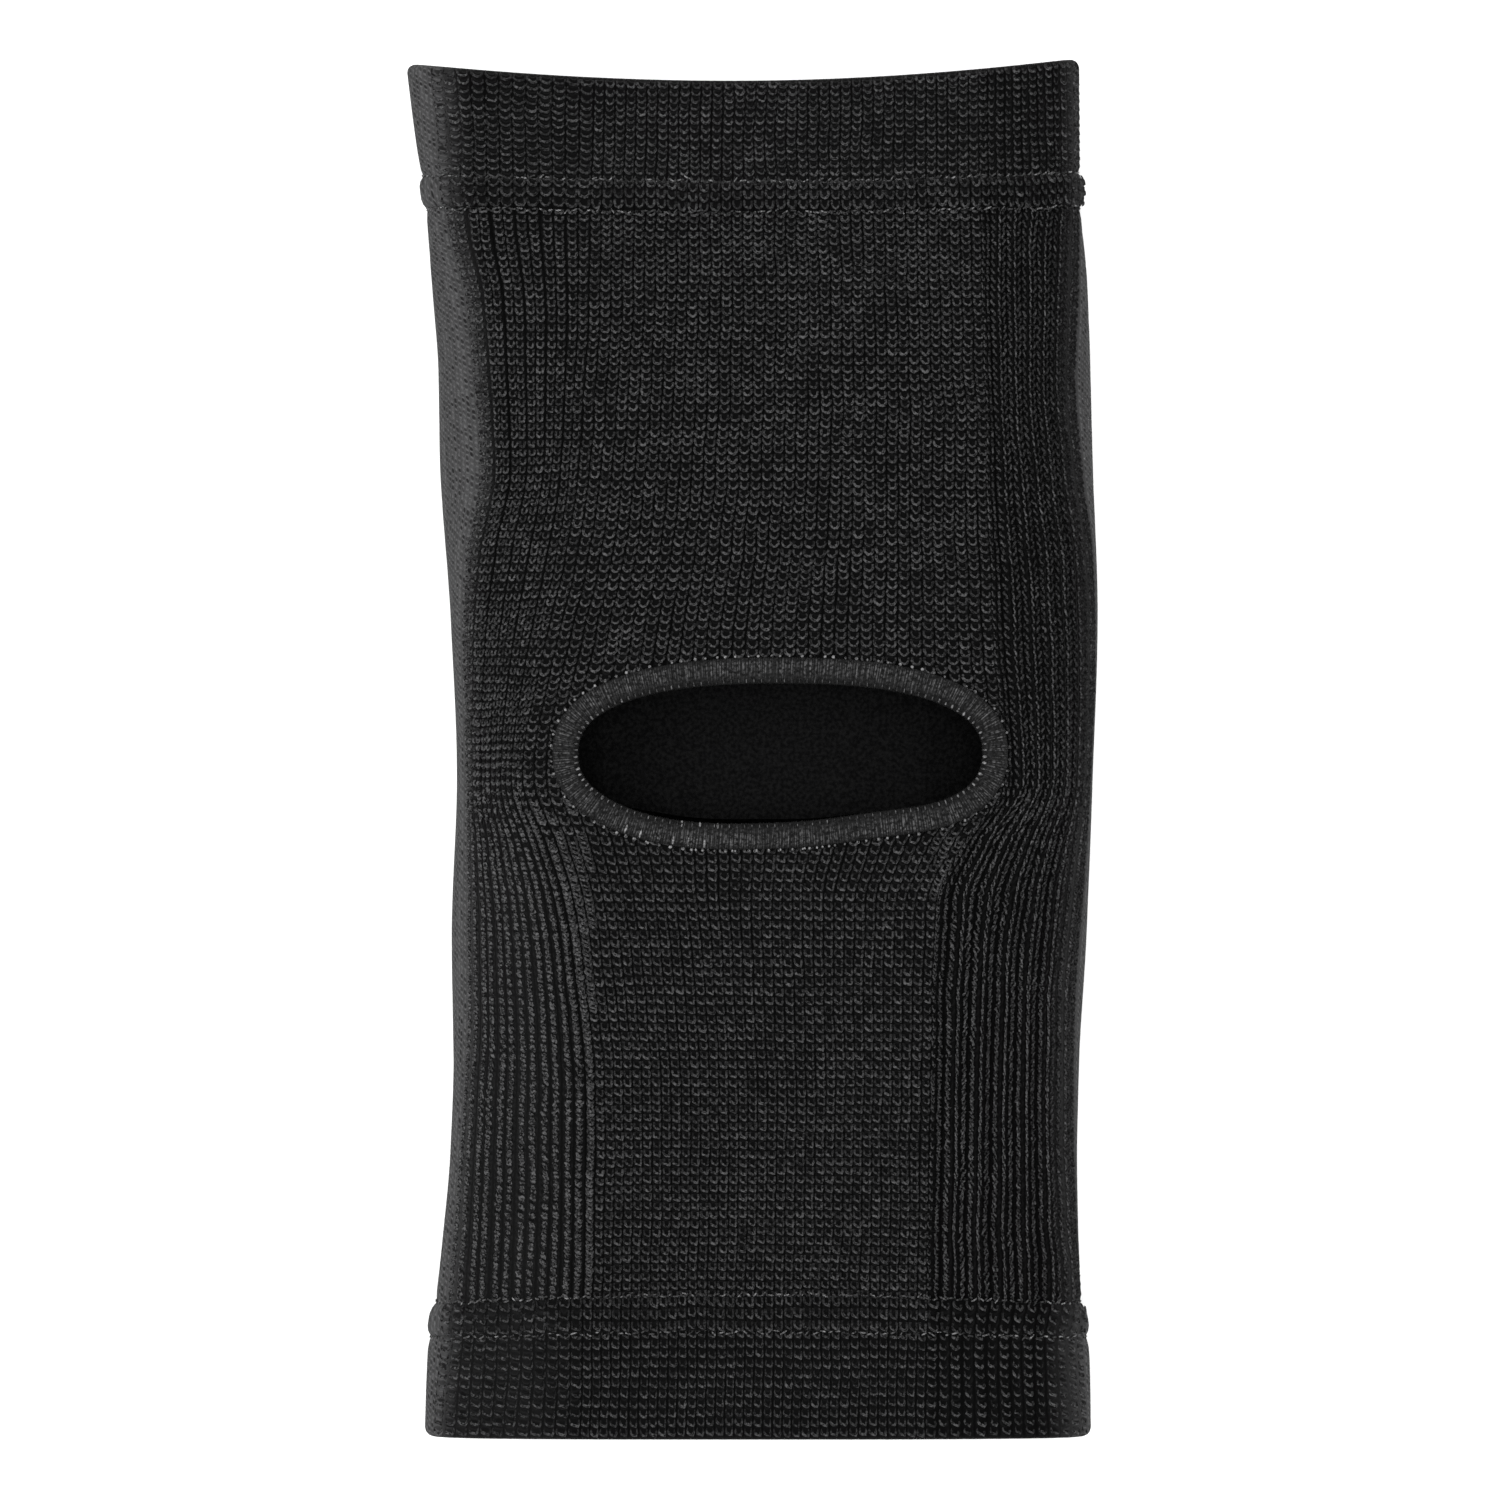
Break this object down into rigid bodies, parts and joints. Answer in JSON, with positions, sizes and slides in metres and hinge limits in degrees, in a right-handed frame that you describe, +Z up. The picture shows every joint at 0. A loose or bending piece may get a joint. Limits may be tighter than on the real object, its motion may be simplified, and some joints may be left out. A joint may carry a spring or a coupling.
{
  "type": "volleyball knee pad",
  "caption": "Black knitted sleeve knee pad for volleyball, lying on its padded front, with ribbed sides, hemmed mouths and a bound oval vent behind the knee.",
  "frame": {"origin": "middle of the underside of the box round the whole pad as it lies", "axes": "+Y along the sleeve towards the thigh, +X to the right seen from above the back, +Z up out of the back of the knee"},
  "size_m": [0.125, 0.25, 0.0439],
  "materials": {
    "sleeve_body": "matte black ribbed knit",
    "thigh_cuff": "matte black double-layer knit",
    "calf_cuff": "matte black double-layer knit",
    "thigh_hem_seam": "stitched knit band",
    "calf_hem_seam": "stitched knit band",
    "vent_binding": "overlocked thread, slight sheen",
    "knee_pad": "matte foam",
    "pad_lining": "smooth black cloth"
  },
  "bodies": {
    "root": {"sleeve_body": "sleeve_body", "thigh_cuff": "thigh_cuff", "calf_cuff": "calf_cuff", "thigh_hem_seam": "thigh_hem_seam", "calf_hem_seam": "calf_hem_seam", "vent_binding": "vent_binding", "knee_pad": "knee_pad", "pad_lining": "pad_lining"}
  },
  "joints": []
}
